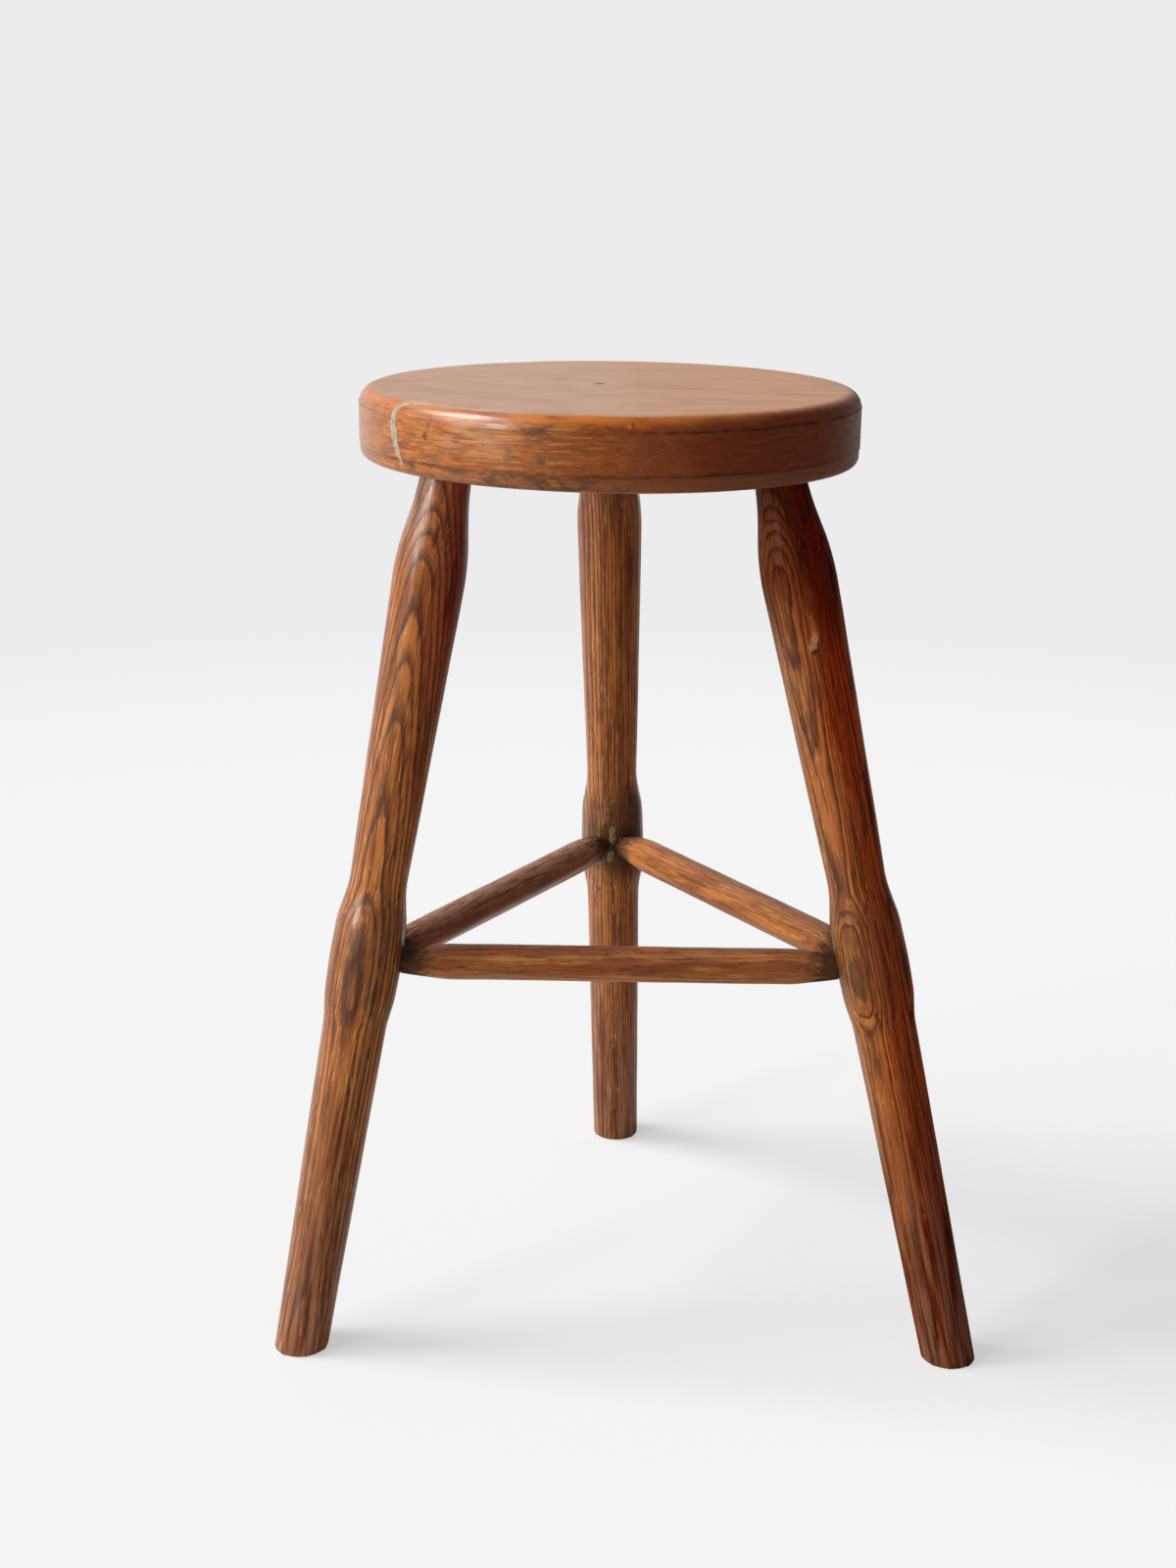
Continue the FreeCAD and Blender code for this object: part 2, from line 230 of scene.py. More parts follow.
def make_grain_group():
    """Wood in millimetres along its own axes: X towards the sawn face, Z along the grain."""
    takes = ("Wood Place", "Pith Depth", "Crown", "Lean", "Sway", "Ring Width", "Waver", "Seed")
    gives = ("Early Wood", "Ring Tone", "Fibre", "Pores", "Flecks")
    tree, given, wanted = new_group("grain", takes, gives)
    axes = put(tree, "SeparateXYZ", {0: given["Wood Place"]}).outputs
    shift = put(tree, "CombineXYZ", {"Z": given["Seed"]}).outputs[0]
    wood = vectors(tree, "ADD", given["Wood Place"], shift)[0]

    # Rings are tubes round the pith, crowned, tilted by the lean, bent by the sway and made to waver.
    sway_start, sway_reach, crown_flat = 80.0, 95.5, 36.0
    swell = maths(tree, "SUBTRACT", cloud(tree, wood, (16.0, 16.0, 95.0), 1.0), 0.5)
    ripple = maths(tree, "SUBTRACT", cloud(tree, wood, (5.0, 5.0, 28.0), 2.0), 0.5)
    waver = add_scaled(tree, ripple, 0.35, swell)
    from_pith = maths(tree, "ADD", axes["X"], given["Pith Depth"])
    sideways = maths(tree, "MULTIPLY", axes["Y"], axes["Y"])
    squares = add_scaled(tree, from_pith, from_pith, sideways)
    depth = add_scaled(tree, axes["Z"], given["Lean"], maths(tree, "SQRT", squares))
    steep = maths(tree, "DIVIDE", sideways, maths(tree, "ADD", sideways, crown_flat))
    depth = add_scaled(tree, product(tree, sideways, steep), given["Crown"], depth)
    swung = maths(tree, "DIVIDE", maths(tree, "SUBTRACT", axes["Z"], sway_start), sway_reach)
    bend = maths(tree, "SINE", swung)
    depth = add_scaled(tree, bend, given["Sway"], depth)
    depth = add_scaled(tree, waver, given["Waver"], depth)
    ring = maths(tree, "DIVIDE", depth, given["Ring Width"])
    ring_vector = put(tree, "CombineXYZ", {"X": ring, "Y": given["Seed"]}).outputs[0]
    ring = maths(tree, "ADD", ring, cloud(tree, ring_vector, (2.3, 1.0, 1.0), 0.0))
    fibre = cloud(tree, wood, (1.1, 1.1, 42.0), 3.0)
    ragged = cloud(tree, wood, (0.9, 0.9, 15.0), 2.0)
    ring = add_scaled(tree, ragged, 0.28, ring)
    within = maths(tree, "FRACT", ring)
    number = maths(tree, "FLOOR", ring)

    # Early wood starts sharply at each ring and fades away, broken up along the fibres.
    early = product(tree, fade(tree, within, 0.0, 0.12), fade(tree, within, 0.60, 0.12))
    dash = cloud(tree, wood, (0.7, 0.7, 9.0), 1.0)
    fleck = cloud(tree, wood, (1.0, 1.0, 15.0), 2.0)
    broken = product(tree, early, fade(tree, fibre, 0.22, 0.55))
    pores = product(tree, fade(tree, dash, 0.52, 0.66), fade(tree, early, -0.35, 0.7))
    tone = put(tree, "TexWhiteNoise", {"W": number}, noise_dimensions="1D").outputs["Value"]
    tree.links.new(broken, wanted["Early Wood"])
    tree.links.new(tone, wanted["Ring Tone"])
    tree.links.new(fibre, wanted["Fibre"])
    tree.links.new(pores, wanted["Pores"])
    tree.links.new(fade(tree, fleck, 0.58, 0.70), wanted["Flecks"])
    return tree


grain_group = make_grain_group()


def wood_place(tree, place):
    """Place on a piece along its own axes in millimetres."""
    sockets = {
        "Vector": put(tree, "TexCoord").outputs["Object"], "Location": place.to_translation(),
        "Rotation": place.to_euler(), "Scale": (MM, MM, MM)}
    return put(tree, "Mapping", sockets, vector_type="TEXTURE").outputs[0]


def new_material(name):
    material = bpy.data.materials.new(name)
    material.use_nodes = True
    tree = material.node_tree
    return material, tree, tree.nodes["Principled BSDF"]


def on_wood(spot):
    """A mark on the seat, given as right, front and height, along the seat's wood axes."""
    right, front, height = spot
    return height, front, right


def make_seat_varnish():
    material, tree, surface = new_material("seat_varnish")
    upright, along_grain = Vector((0, 0, 1)), Vector((1, 0, 0))
    axes = Matrix((upright, along_grain.cross(upright), along_grain)).transposed().to_4x4()
    wood = wood_place(tree, seat_place @ axes)
    grain = put(tree, "Group", {
        "Wood Place": wood, "Pith Depth": 90.0, "Lean": 0.03, "Ring Width": 5.5, "Waver": 7.0, "Seed": 500.0,
    }, node_tree=grain_group).outputs
    parts = put(tree, "SeparateXYZ", {0: wood}).outputs
    height, front, right = parts["X"], parts["Y"], parts["Z"]
    flat = put(tree, "CombineXYZ", {"X": front, "Y": right}).outputs[0]
    radius = vectors(tree, "LENGTH", flat)["Value"]
    rim = fade(tree, radius, 147.0, 151.0)
    soft_edge = add_scaled(tree, fade(tree, right, 10.0, 110.0), -3.5, 41.6)
    top = product(tree, fade(tree, height, soft_edge, 42.9), fade(tree, radius, 153.0, 146.0))

    amber = (0.48, 0.150, 0.035, 1)
    chestnut = (0.29, 0.066, 0.014, 1)
    russet_and_shade = (0.175, 0.027, 0.004, 1)
    honey = (0.62, 0.27, 0.080, 1)
    rust = (0.26, 0.052, 0.009, 1)
    worn_orange = (0.60, 0.18, 0.026, 1)
    dull_tan_and_sheen = (0.56, 0.250, 0.103, 1)
    dull_line = (0.38, 0.142, 0.052, 1)
    pale_tan_and_sheen = (0.59, 0.275, 0.118, 1)
    smudge = (0.12, 0.052, 0.028, 1)
    blackish_brown = (0.050, 0.015, 0.006, 1)
    pit_red = (0.10, 0.018, 0.008, 1)
    umber = (0.25, 0.095, 0.036, 1)
    pale_sheen = (0.40, 0.19, 0.095, 1)
    grey_sheen = (0.24, 0.115, 0.085, 1)
    fresh_rust = (0.42, 0.095, 0.016, 1)
    painted_sheen = (0.68, 0.38, 0.21, 1)
    patch = cloud(tree, wood, (20.0, 34.0, 44.0), 3.0)
    streak = cloud(tree, wood, (1.7, 20.0, 26.0), 4.0)
    crumbs = cloud(tree, wood, (5.0, 9.0, 9.0), 3.0)
    grit = cloud(tree, wood, (1.6, 1.6, 1.6), 2.0)
    thread = cloud(tree, wood, (0.7, 7.0, 15.0), 3.0)

    # The varnish is bright on the left, where the light has bleached it, and dark red on the right,
    # partly as painted shade.
    side = add_scaled(tree, maths(tree, "SUBTRACT", patch, 0.5), 130.0, right)
    pale_side = fade(tree, right, 40.0, -60.0)
    dull = cloud(tree, wood, (11.0, 22.0, 26.0), 3.0)
    red_patch = product(tree, fade(tree, crumbs, 0.46, 0.32), fade(tree, right, -70.0, -30.0))
    soiled = product(tree, fade(tree, crumbs, 0.55, 0.70), fade(tree, right, 70.0, -10.0), rim)
    colour = layer(
        tree, amber,
        (chestnut, fade(tree, side, -80.0, 5.0)),
        (russet_and_shade, fade(tree, side, 0.0, 78.0)),
        (umber, fade(tree, dull, 0.47, 0.62), 0.75, pale_side),
        (fresh_rust, red_patch, fade(tree, right, 60.0, 20.0), 0.7),
        (rust, fade(tree, streak, 0.53, 0.66), 0.75),
        (honey, fade(tree, streak, 0.46, 0.30), 0.75, pale_side),
        (rust, fade(tree, thread, 0.52, 0.68), 0.6),
        (honey, fade(tree, thread, 0.46, 0.32), 0.55, pale_side),
        (smudge, soiled, 0.55),
        (rust, grain["Pores"], 0.35))

    # Scratches cross the front of the rim both ways.
    for slant, cell in ((0.75, (1.0, 34.0, 60.0)), (-0.45, (0.9, 26.0, 60.0))):
        across = add_scaled(tree, right, slant, height)
        along = add_scaled(tree, height, -slant, right)
        slanted = put(tree, "CombineXYZ", {"X": across, "Y": along, "Z": front}).outputs[0]
        marks = cloud(tree, slanted, cell, 1.0)
        where = product(tree, fade(tree, front, 132.0, 146.0), fade(tree, right, 62.0, 30.0), rim)
        colour = tint(tree, colour, honey, fade(tree, marks, 0.60, 0.74), where, 0.15)
        colour = tint(tree, colour, smudge, fade(tree, marks, 0.40, 0.28), where, 0.50)

    # The top has dulled; its tan is partly painted sheen, lighter towards the right. Hands have worn the
    # round above it to bright orange.
    line = cloud(tree, wood, (30.0, 2.6, 75.0), 3.0)
    strand = cloud(tree, wood, (30.0, 4.6, 26.0), 3.0)
    top_with_painted_light = layer(
        tree, dull_tan_and_sheen,
        (pale_tan_and_sheen, fade(tree, right, -10.0, 130.0), 0.8),
        (dull_line, fade(tree, patch, 0.42, 0.66), 0.35),
        (dull_line, fade(tree, line, 0.50, 0.72), 0.6),
        (dull_line, fade(tree, strand, 0.54, 0.70), 0.4),
        (pale_tan_and_sheen, fade(tree, strand, 0.46, 0.30), 0.45),
        (dull_line, fade(tree, grain["Fibre"], 0.52, 0.32), 0.5),
        (dull_line, grain["Early Wood"], 0.3),
        (umber, grain["Pores"], 0.3))
    colour = tint(tree, colour, top_with_painted_light, top)
    worn = product(tree, fade(tree, height, 37.0, 41.0), fade(tree, height, 43.15, 42.5))
    worn = product(tree, worn, fade(tree, radius, 144.5, 147.5), fade(tree, side, 100.0, -25.0))
    worn = product(tree, worn, fade(tree, streak, 0.72, 0.46), 0.85)
    colour = tint(tree, colour, worn_orange, worn)

    # Painted shade lies along the two steps of the edge, in the upper one mostly on the right, and darkens
    # the band below the lower step, where dirt is smudged as well.
    waver = add_scaled(tree, maths(tree, "SUBTRACT", crumbs, 0.5), 7.0, height)
    low_off = maths(tree, "ABSOLUTE", maths(tree, "SUBTRACT", waver, bottom_step / MM - 0.6))
    low_step_shade = product(tree, fade(tree, low_off, 2.8, 0.3), fade(tree, thread, 0.66, 0.42), rim, 0.7)
    high_off = maths(tree, "ABSOLUTE", maths(tree, "SUBTRACT", height, top_step / MM))
    high_step_shade = product(tree, fade(tree, high_off, 1.5, 0.1), fade(tree, right, -30.0, 50.0), rim)
    high_step_shade = product(tree, high_step_shade, fade(tree, crumbs, 0.66, 0.42), 0.8)
    below = product(tree, fade(tree, height, 10.0, 8.0), rim, fade(tree, right, -150.0, -60.0))
    soiled = product(tree, fade(tree, crumbs, 0.48, 0.62), fade(tree, right, 60.0, -40.0))
    # The far left end of the rim is paled as painted sheen.
    far_left_sheen = product(tree, fade(tree, right, -118.0, -152.0), rim, fade(tree, height, 42.0, 34.0), 0.55)
    # The far right end of the rim is greyed as painted reflection.
    far_right_sheen = add_scaled(tree, fade(tree, height, 34.4, 33.6), 0.35, 0.6)
    far_right_sheen = product(tree, far_right_sheen, fade(tree, right, 116.0, 151.0), fade(tree, height, 1.0, 7.0))
    far_right_sheen = product(tree, far_right_sheen, fade(tree, streak, 0.74, 0.34), fade(tree, crumbs, 0.22, 0.50))
    colour = layer(
        tree, colour,
        (blackish_brown, low_step_shade),
        (blackish_brown, high_step_shade),
        (umber, below, 0.5),
        (smudge, below, soiled, 0.8),
        (pale_sheen, far_left_sheen),
        (grey_sheen, far_right_sheen))

    # Single marks: a pale patch of painted sheen, the pit the lathe centre left, a dent, a scuff, a nick
    # and a fleck.
    off = vectors(tree, "SUBTRACT", wood, on_wood(sheen_spot))[0]
    off = vectors(tree, "DIVIDE", off, (15.0, 60.0, 36.0))[0]
    sheen_haze = fade(tree, vectors(tree, "LENGTH", off)["Value"], 1.0, 0.3)
    colour = tint(tree, colour, painted_sheen, sheen_haze, fade(tree, streak, 0.66, 0.42), 0.4)
    for spot, size, mark, share in (
            (turning_pit, (9.0, 5.5, 6.0), pit_red, 0.9),
            (rim_dent, (3.2, 3.0, 3.2), smudge, 0.8), (rim_scuff, (2.8, 9.0, 8.0), smudge, 0.5),
            (edge_nick, (1.8, 9.0, 1.6), blackish_brown, 0.5), (nick_chip, (1.4, 9.0, 1.4), honey, 0.45),
            (top_fleck, (9.0, 3.6, 7.5), umber, 0.8)):
        colour = tint(tree, colour, mark, blotch(tree, wood, on_wood(spot), size, grit), share)
    polished = product(tree, fade(tree, right, -35.0, -60.0), fade(tree, height, 34.0, 37.0))
    polished = product(tree, polished, fade(tree, right, -128.0, -104.0), fade(tree, radius, 143.0, 147.0))
    gloss = add_scaled(tree, patch, 0.20, 0.16)
    gloss = add_scaled(tree, polished, -0.07, gloss)
    gloss = add_scaled(tree, fade(tree, right, -10.0, 90.0), 0.26, gloss)
    gloss = add_scaled(tree, top, 0.22, gloss)
    sheen = add_scaled(tree, top, 0.37, 0.03)
    sheen = add_scaled(tree, polished, 0.75, sheen)
    sheen = add_scaled(tree, pale_side, 0.07, sheen)
    rough = add_scaled(tree, grain["Pores"], -0.4, grain["Fibre"])
    rough = add_scaled(tree, streak, 0.8, rough)
    fill(tree, surface, {
        "Base Color": colour, "Roughness": gloss, "Coat Weight": sheen, "Coat Roughness": 0.3,
        "Specular IOR Level": 0.22, "Normal": relief(tree, rough, 0.3, 0.2)})
    return material


seat_corners = [
    (0, 0, 0),
    (seat_radius - edge_step, 0, bottom_round),
    (seat_radius - edge_step, bottom_step, 0),
    (seat_radius, bottom_step, 0),
    (seat_radius, top_step, 0),
    (seat_radius - edge_step, top_step, 0),
    (seat_radius - edge_step, seat_thickness, top_round),
    (0, seat_thickness, 0),
]
seat_shape = turned(seat_corners, seat_facets, seat_ring_gap)
# The board is a little thicker on the right, so its underside falls away to that side.
for vert in seat_shape.verts:
    share = min(max((fall_top - vert.co.z) / fall_reach, 0), 1)
    vert.co.z -= underside_fall * vert.co.x * share
wear_in(seat_shape, seat_wear, seat_wear_wave)
for spot, reach, depth in ((turning_pit, 4.0, 0.8), (rim_dent, 5.0, 0.7), (edge_nick, 4.0, 0.7)):
    right, front, height = spot
    dent(seat_shape, Vector((right, -front, height)) * MM, reach * MM, depth * MM)
bmesh.ops.transform(seat_shape, matrix=seat_place, verts=seat_shape.verts)
seat_skin = BVHTree.FromBMesh(seat_shape)
seat = make_piece("seat_slab", seat_shape, make_seat_varnish())
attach(seat, "root")
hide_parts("seat")

# Split filler
# A split in the left of the rim was filled with a pale putty, which has dried chalky. It stands a
# little proud, and its upper end runs out thin along the top edge.
putty_proud = 0.25 * MM
putty_sunk = 0.12 * MM
putty_depth = 2.5 * MM
bead_steps = 90
bead_lanes = 12
ragged_share = 0.45
ragged_waves = 34
lump_share = 0.5
lump_size = 1.5 * MM
line_end = 0.9999
look_ahead = 0.01
# The putty's middle line: its turn about the seat in degrees, then in millimetres its radius, its height
# above the underside and its half width.
split_line = [
    (219.2, 155.0, 6.8, 0.6), (217.9, 155.0, 12.0, 2.1), (216.4, 155.0, 19.0, 3.3),
    (215.6, 155.0, 27.0, 3.7), (215.6, 154.8, 34.0, 3.5), (216.5, 153.4, 40.0, 2.9),
    (218.4, 150.6, 42.6, 1.9), (222.0, 148.6, 43.2, 0.9), (226.5, 147.6, 43.2, 0.3),
]


def along_line(points, share):
    """Smooth line through points, at a share of its length, as the numbers each point has."""
    last = len(points) - 1
    place = min(share, line_end) * last
    index = int(place)
    step = place - index
    near = [points[min(max(index + shift, 0), last)] for shift in (-1, 0, 1, 2)]
    values = []
    for before, here, there, after in zip(*near):
        bend = (2 * before - 5 * here + 4 * there - after) * step ** 2
        twist = (3 * here - before - 3 * there + after) * step ** 3
        values.append(here + 0.5 * ((there - before) * step + (bend + twist)))
    return values


def bead(middle, skin, proud, sunk, depth):
    """Soft stuff smeared along a line on a surface: domed, ragged at the sides, reaching in by a depth.

    middle takes a share of the line and gives a point near the surface, the way out and a half width."""
    shape = bmesh.new()
    bmesh.ops.create_grid(shape, x_segments=bead_steps, y_segments=bead_lanes, size=1.0)
    for vert in shape.verts:
        share, across = (vert.co.x + 1) / 2, vert.co.y
        point, outward, half_width = middle(share)
        ahead = middle(share + look_ahead)[0] - middle(share - look_ahead)[0]
        sideways = outward.cross(ahead).normalized()
        ragged = 1 + ragged_share * noise.noise(Vector((share * ragged_waves, 3 * (across > 0), 0.5)))
        spot = skin.find_nearest(point + sideways * (half_width * across * ragged))[0]
        lump = 1 + lump_share * noise.noise(spot / lump_size)
        vert.co = spot + outward * (proud * lump * (1 - across ** 2) - sunk * across ** 4)
    bmesh.ops.recalc_face_normals(shape, faces=shape.faces)
    bmesh.ops.solidify(shape, geom=list(shape.faces), thickness=depth)
    bmesh.ops.recalc_face_normals(shape, faces=shape.faces)
    return shape


def make_putty():
    material, tree, surface = new_material("split_putty")
    place = wood_place(tree, seat_place)
    pale = (0.52, 0.415, 0.31, 1)
    grey = (0.34, 0.27, 0.20, 1)
    brown = (0.24, 0.12, 0.055, 1)
    orange_highlight = (0.72, 0.42, 0.22, 1)
    blot = cloud(tree, place, (2.5, 2.5, 4.0), 3.0)
    specks = cloud(tree, place, (0.5, 0.5, 0.5), 2.0)
    height = put(tree, "SeparateXYZ", {0: place}).outputs["Z"]
    # Along the top edge the putty is painted pale orange as a highlight.
    colour = layer(
        tree, pale,
        (grey, fade(tree, blot, 0.38, 0.66)),
        (brown, fade(tree, specks, 0.52, 0.66), 0.7),
        (orange_highlight, fade(tree, height, 41.0, 43.2), 0.8))
    gloss = add_scaled(tree, blot, 0.2, 0.6)
    fill(tree, surface, {
        "Base Color": colour, "Roughness": gloss, "Specular IOR Level": 0.3,
        "Normal": relief(tree, specks, 0.6, 0.15)})
    return material


def split_middle(share):
    turn, radius, height, half_width = along_line(split_line, max(share, 0))
    turn = math.radians(turn)
    way = Vector((math.cos(turn), math.sin(turn), 0))
    spot = way * (radius * MM)
    spot.z = height * MM
    core = way * (seat_radius - top_round)
    core.z = min(max(spot.z, bottom_step), top_step)
    return seat_place @ spot, (spot - core).normalized(), half_width * MM


putty_shape = bead(split_middle, seat_skin, putty_proud, putty_sunk, putty_depth)
putty = make_piece("split_putty", putty_shape, make_putty())
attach(putty, "root")
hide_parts("split_filler")

# Legs
# Three straight turnings of open-grained wood, stained brown: a round tenon and neck at the top, a
# swelling shoulder, a long taper and a bulb at mid height that the stretchers enter. Each is glued
# into its socket and sawn off level with the floor.
socket_circle = 115.0 * MM
tenon_length = 29.5 * MM
neck_radius = 15.7 * MM
neck_drop = 15.0 * MM
shoulder_drop = 56.0 * MM
shoulder_curve = 140.0 * MM
waist_drop = 262.0 * MM
bulb_top_radius = 22.1 * MM
bulb_top_drop = 285.0 * MM
bulb_curve = 60.0 * MM
crown_radius = 22.9 * MM
crown_drop = 313.0 * MM
crown_curve = 300.0 * MM
bulb_base_radius = 22.2 * MM
bulb_base_drop = 335.0 * MM
ankle_drop = 351.0 * MM
foot_radius = 16.9 * MM
foot_drop = 594.0 * MM
leg_facets = 80
leg_ring_gap = 2.5 * MM
leg_wear = 0.3 * MM
leg_wear_wave = 30.0 * MM
foot_round = 1.3 * MM
foot_round_facets = 4
leg_chip = Vector((106.7, -125.3, 468.7)) * MM
chip_reach = 6.0 * MM
chip_depth = 0.6 * MM
socket_radius = 15.85 * MM
socket_floor = 29.9 * MM
below_seat = 20.0 * MM
bore_facets = 48
mortise_inset = 4.2 * MM
mouth_reach = 19.0 * MM

# Where each leg's socket lies, how far down it is bored for the stretcher to each other leg and the radius
# of its shoulder, waist and ankle; then how its wood was sawn: the turn of the face with the arched grain,
# the pith behind it (or in front, below zero), the rings' crown, lean, sway and width and a seed for the
# stretch of wood; then how it aged and how light falls on it: the red varnish left on its right side and
# deepened there as painted shade, above and below, and where that starts, how much of the seat's painted
# shadow darkens its top and how dark its foot is, the varnish left thick on its neck and its bulb, the
# grime and painted shade on the left and the right of its bulb, and how shiny the rest is.
leg_stands = {
    "back": {"socket_turn": 90.4, "mortises": {"left": 311.7, "right": 311.7}, "radii": (22.6, 17.9, 19.2),
             "face_turn": 185.0, "pith": 120.0, "crown": 0.0, "lean": 0.01, "sway": 0.0, "rings": 2.3,
             "seed": 100.0, "varnish": (0.25, 0.1, -13.0), "dark": (0.0, 0.45), "thick": (0.6, 0.3),
             "grime_and_shade": (0.3, 0.65), "shine": 0.2},
    "left": {"socket_turn": 212.9, "mortises": {"right": 311.8, "back": 313.0}, "radii": (22.5, 17.9, 20.1),
             "face_turn": 258.0, "pith": -40.0, "crown": 0.0, "lean": -0.065, "sway": -6.2, "rings": 3.8,
             "seed": 900.0, "varnish": (1.0, 0.0, -8.0), "dark": (0.15, 0.4), "thick": (1.0, 0.75),
             "grime_and_shade": (0.1, 0.2), "shine": 0.22},
    "right": {"socket_turn": 331.8, "mortises": {"left": 316.6, "back": 313.0}, "radii": (23.4, 18.2, 19.8),
              "face_turn": 236.0, "pith": 0.65, "crown": -0.035, "lean": 0.004, "sway": 0.0, "rings": 1.3,
              "seed": 1900.0, "varnish": (1.0, 0.75, -17.0), "dark": (0.95, 0.95), "thick": (0.1, 0.3),
              "grime_and_shade": (0.35, 0.25), "shine": 0.05},
}


def make_leg_stain(name, stand, place, mouths):
    material, tree, surface = new_material(name + "_leg_stain")
    wood = wood_place(tree, place)
    grain = put(tree, "Group", {
        "Wood Place": wood, "Pith Depth": stand["pith"], "Crown": stand["crown"], "Lean": stand["lean"],
        "Sway": stand["sway"], "Ring Width": stand["rings"], "Waver": 1.6, "Seed": stand["seed"],
    }, node_tree=grain_group).outputs
    gold = (0.59, 0.200, 0.045, 1)
    brown = (0.33, 0.095, 0.022, 1)
    deep_brown = (0.17, 0.048, 0.014, 1)
    early_dark = (0.075, 0.024, 0.011, 1)
    pore_dark = (0.060, 0.020, 0.010, 1)
    straw = (0.70, 0.37, 0.120, 1)
    bare_wood = (0.60, 0.25, 0.12, 1)
    grime = (0.050, 0.021, 0.011, 1)
    greyish_tan = (0.30, 0.18, 0.12, 1)
    red_varnish_and_shade = (0.66, 0.14, 0.015, 1)
    seat_shadow_tint = (0.42, 0.27, 0.18, 1)
    foot_shade = (0.54, 0.37, 0.28, 1)
    shifted = vectors(tree, "ADD", wood, (0.0, 0.0, stand["seed"]))[0]
    patch = cloud(tree, shifted, (12.0, 12.0, 60.0), 3.0)
    crumbs = cloud(tree, shifted, (4.0, 4.0, 7.0), 3.0)
    grit = cloud(tree, shifted, (1.4, 1.4, 3.0), 2.0)
    streak = cloud(tree, shifted, (3.2, 3.2, 56.0), 3.0)
    tone = add_scaled(tree, grain["Ring Tone"], 0.3, patch)
    colour = layer(
        tree, brown,
        (gold, fade(tree, tone, 0.45, 0.82)),
        (deep_brown, fade(tree, streak, 0.48, 0.36), 0.85),
        (gold, fade(tree, streak, 0.53, 0.65), 0.75),
        (deep_brown, fade(tree, grain["Fibre"], 0.48, 0.32), 0.6),
        (gold, fade(tree, grain["Fibre"], 0.55, 0.70), 0.6),
        (straw, grain["Flecks"], fade(tree, patch, 0.30, 0.55), 0.95),
        (early_dark, grain["Early Wood"], 0.85),
        (pore_dark, grain["Pores"], 0.6))

    # Old red varnish is left on the right side, deepened there as painted shade.
    rightward = place.to_3x3().transposed() @ Vector((1, 0, 0))
    rightward.z = 0
    across = vectors(tree, "DOT_PRODUCT", wood, rightward)["Value"]
    across = add_scaled(tree, maths(tree, "SUBTRACT", patch, 0.5), 26.0, across)
    drop = put(tree, "SeparateXYZ", {0: wood}).outputs["Z"]
    above, below, start = stand["varnish"]
    red_and_shade = add_scaled(tree, fade(tree, drop, 280.0, 30.0), above - below, below)
    red_and_shade = product(tree, red_and_shade, fade(tree, across, start, start + 28.0))
    colour = tint(tree, colour, red_varnish_and_shade, red_and_shade, mode="MULTIPLY")

    # Grime has gathered round the mortises. The seat's shadow is painted on the top, the foot has darkened,
    # and the foot is dusty.
    for mouth in mouths:
        ring = blotch(tree, wood, mouth, (20.0, 20.0, 24.0), crumbs)
        colour = tint(tree, colour, grime, ring, 0.5)
    seat_shadow_share, dark_foot = stand["dark"]
    top_with_painted_light = product(tree, fade(tree, drop, 130.0, 50.0), seat_shadow_share)
    colour = tint(tree, colour, seat_shadow_tint, top_with_painted_light, mode="MULTIPLY")
    darkened = product(tree, fade(tree, drop, 330.0, 540.0), dark_foot)
    colour = tint(tree, colour, foot_shade, darkened, mode="MULTIPLY")
    pale_blotches = product(tree, fade(tree, drop, 360.0, 580.0), fade(tree, streak, 0.40, 0.62), 0.38)
    colour = tint(tree, colour, greyish_tan, pale_blotches)
    foot_rim = product(tree, fade(tree, drop, 578.0, 594.0), fade(tree, patch, 0.20, 0.6), 0.55)
    colour = tint(tree, colour, grime, foot_rim)

    # Grime and painted shade darken the bulbs, by a share on each side. The back one is streaked with dust
    # on the left.
    grime_shade_left, grime_shade_right = stand["grime_and_shade"]
    bulb = product(tree, fade(tree, drop, 258.0, 276.0), fade(tree, drop, 346.0, 322.0))
    grime_and_shade = add_scaled(tree, fade(tree, across, -9.0, 7.0), grime_shade_right - grime_shade_left, grime_shade_left)
    colour = tint(tree, colour, grime, bulb, grime_and_shade)
    if name == "back":
        smear = cloud(tree, shifted, (1.1, 1.1, 24.0), 2.0)
        grey = product(tree, bulb, fade(tree, smear, 0.52, 0.66), fade(tree, across, 6.0, -8.0), 0.5)
        colour = tint(tree, colour, greyish_tan, grey)
    if name == "right":
        # A chip shows bare wood, with dirt beside it and gold above.
        chip = place.inverted() @ leg_chip / MM
        marks = [
            ((0, -1.5, -9), (5.0, 1.8, 10.0), 0.4, gold), ((0, -4.2, 1), (5.0, 1.8, 6.5), 0.9, grime),
            ((0, 0.5, 6), (5.0, 3.0, 2.5), 0.9, grime), ((0, 1.5, 3), (5.0, 2.2, 4.2), 0.6, bare_wood),
            ((0, 0, 0), (5.0, 2.2, 4.2), 0.6, bare_wood), ((0, -1.5, -3), (5.0, 2.2, 4.2), 0.6, bare_wood)]
        for off, size, share, mark in marks:
            spot = blotch(tree, wood, chip + Vector(off), size, grit)
            colour = tint(tree, colour, mark, spot, share)

